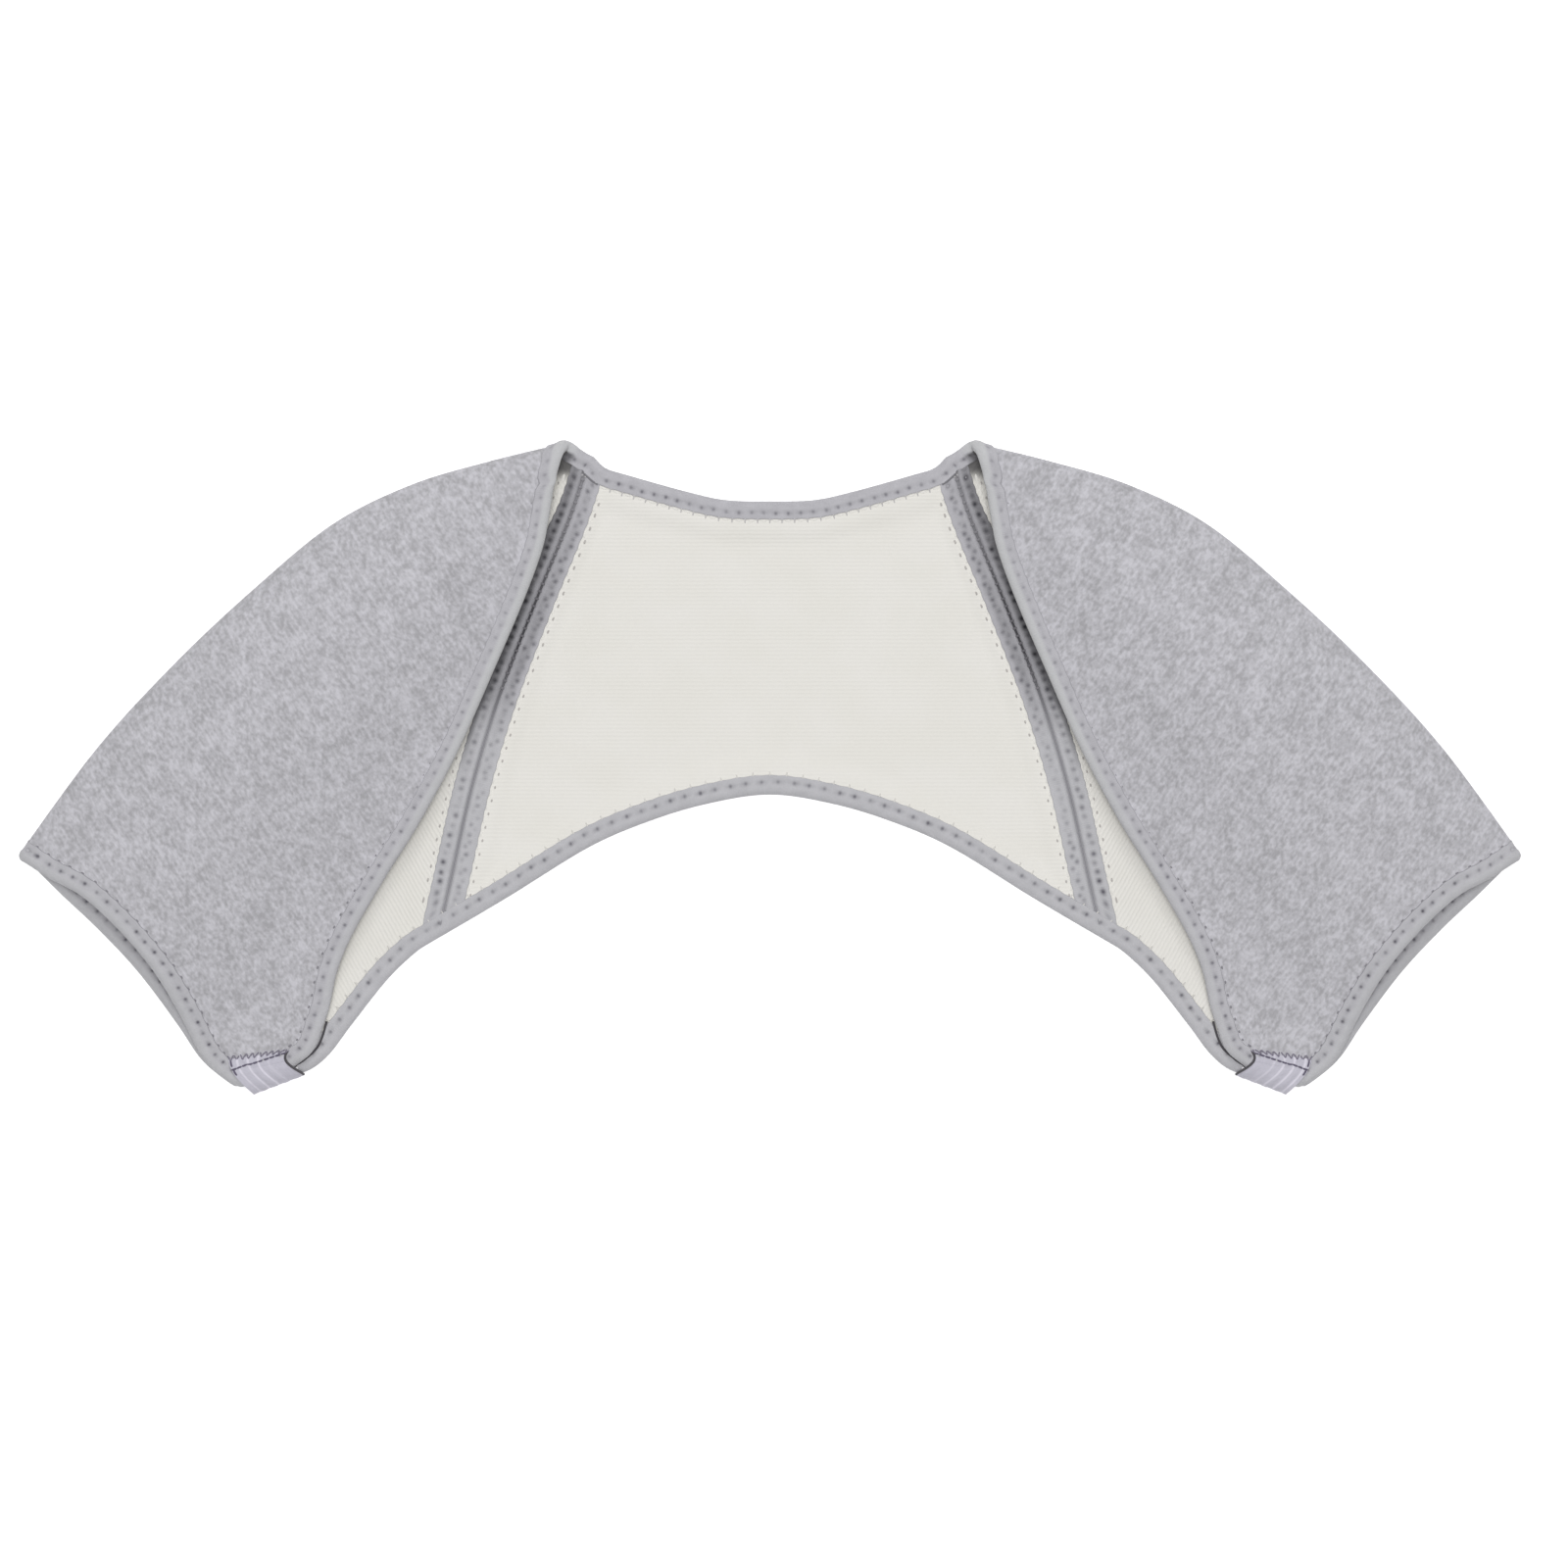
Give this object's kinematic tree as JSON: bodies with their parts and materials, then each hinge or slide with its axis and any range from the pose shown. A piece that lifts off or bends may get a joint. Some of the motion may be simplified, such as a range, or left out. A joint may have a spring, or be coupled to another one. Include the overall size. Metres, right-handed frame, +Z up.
{
  "type": "posture corrector",
  "caption": "Soft shoulder and upper-back support of lined grey knit, laid flat with its sleeves folded forward, all edges bound with tape and the underarms closed by elastic.",
  "frame": {"origin": "middle of the laid-out width and depth, on the surface that the part lies on", "axes": "+X to the right-hand sleeve as seen from above with the neckline at the top, +Y from the hem to the neckline, +Z up from the surface"},
  "size_m": [0.6392, 0.278, 0.0343],
  "materials": {
    "knit": "heather-grey fine knit, matt",
    "lining": "cream lining with fine ribs, matt",
    "tape": "grey knit binding tape, matt",
    "elastic": "lilac-grey ribbed elastic, matt"
  },
  "bodies": {
    "root": {"back_panel": "knit", "back_lining": "lining", "sleeve_right": "knit", "sleeve_left": "knit", "sleeve_right_lining": "lining", "sleeve_left_lining": "lining", "neckline_binding": "tape", "hem_binding": "tape", "cuff_binding_right": "tape", "cuff_binding_left": "tape", "sleeve_seam_binding_right": "tape", "sleeve_seam_binding_left": "tape", "back_seam_binding_right": "tape", "back_seam_binding_left": "tape", "underarm_elastic_right": "elastic", "underarm_elastic_left": "elastic"}
  },
  "joints": []
}
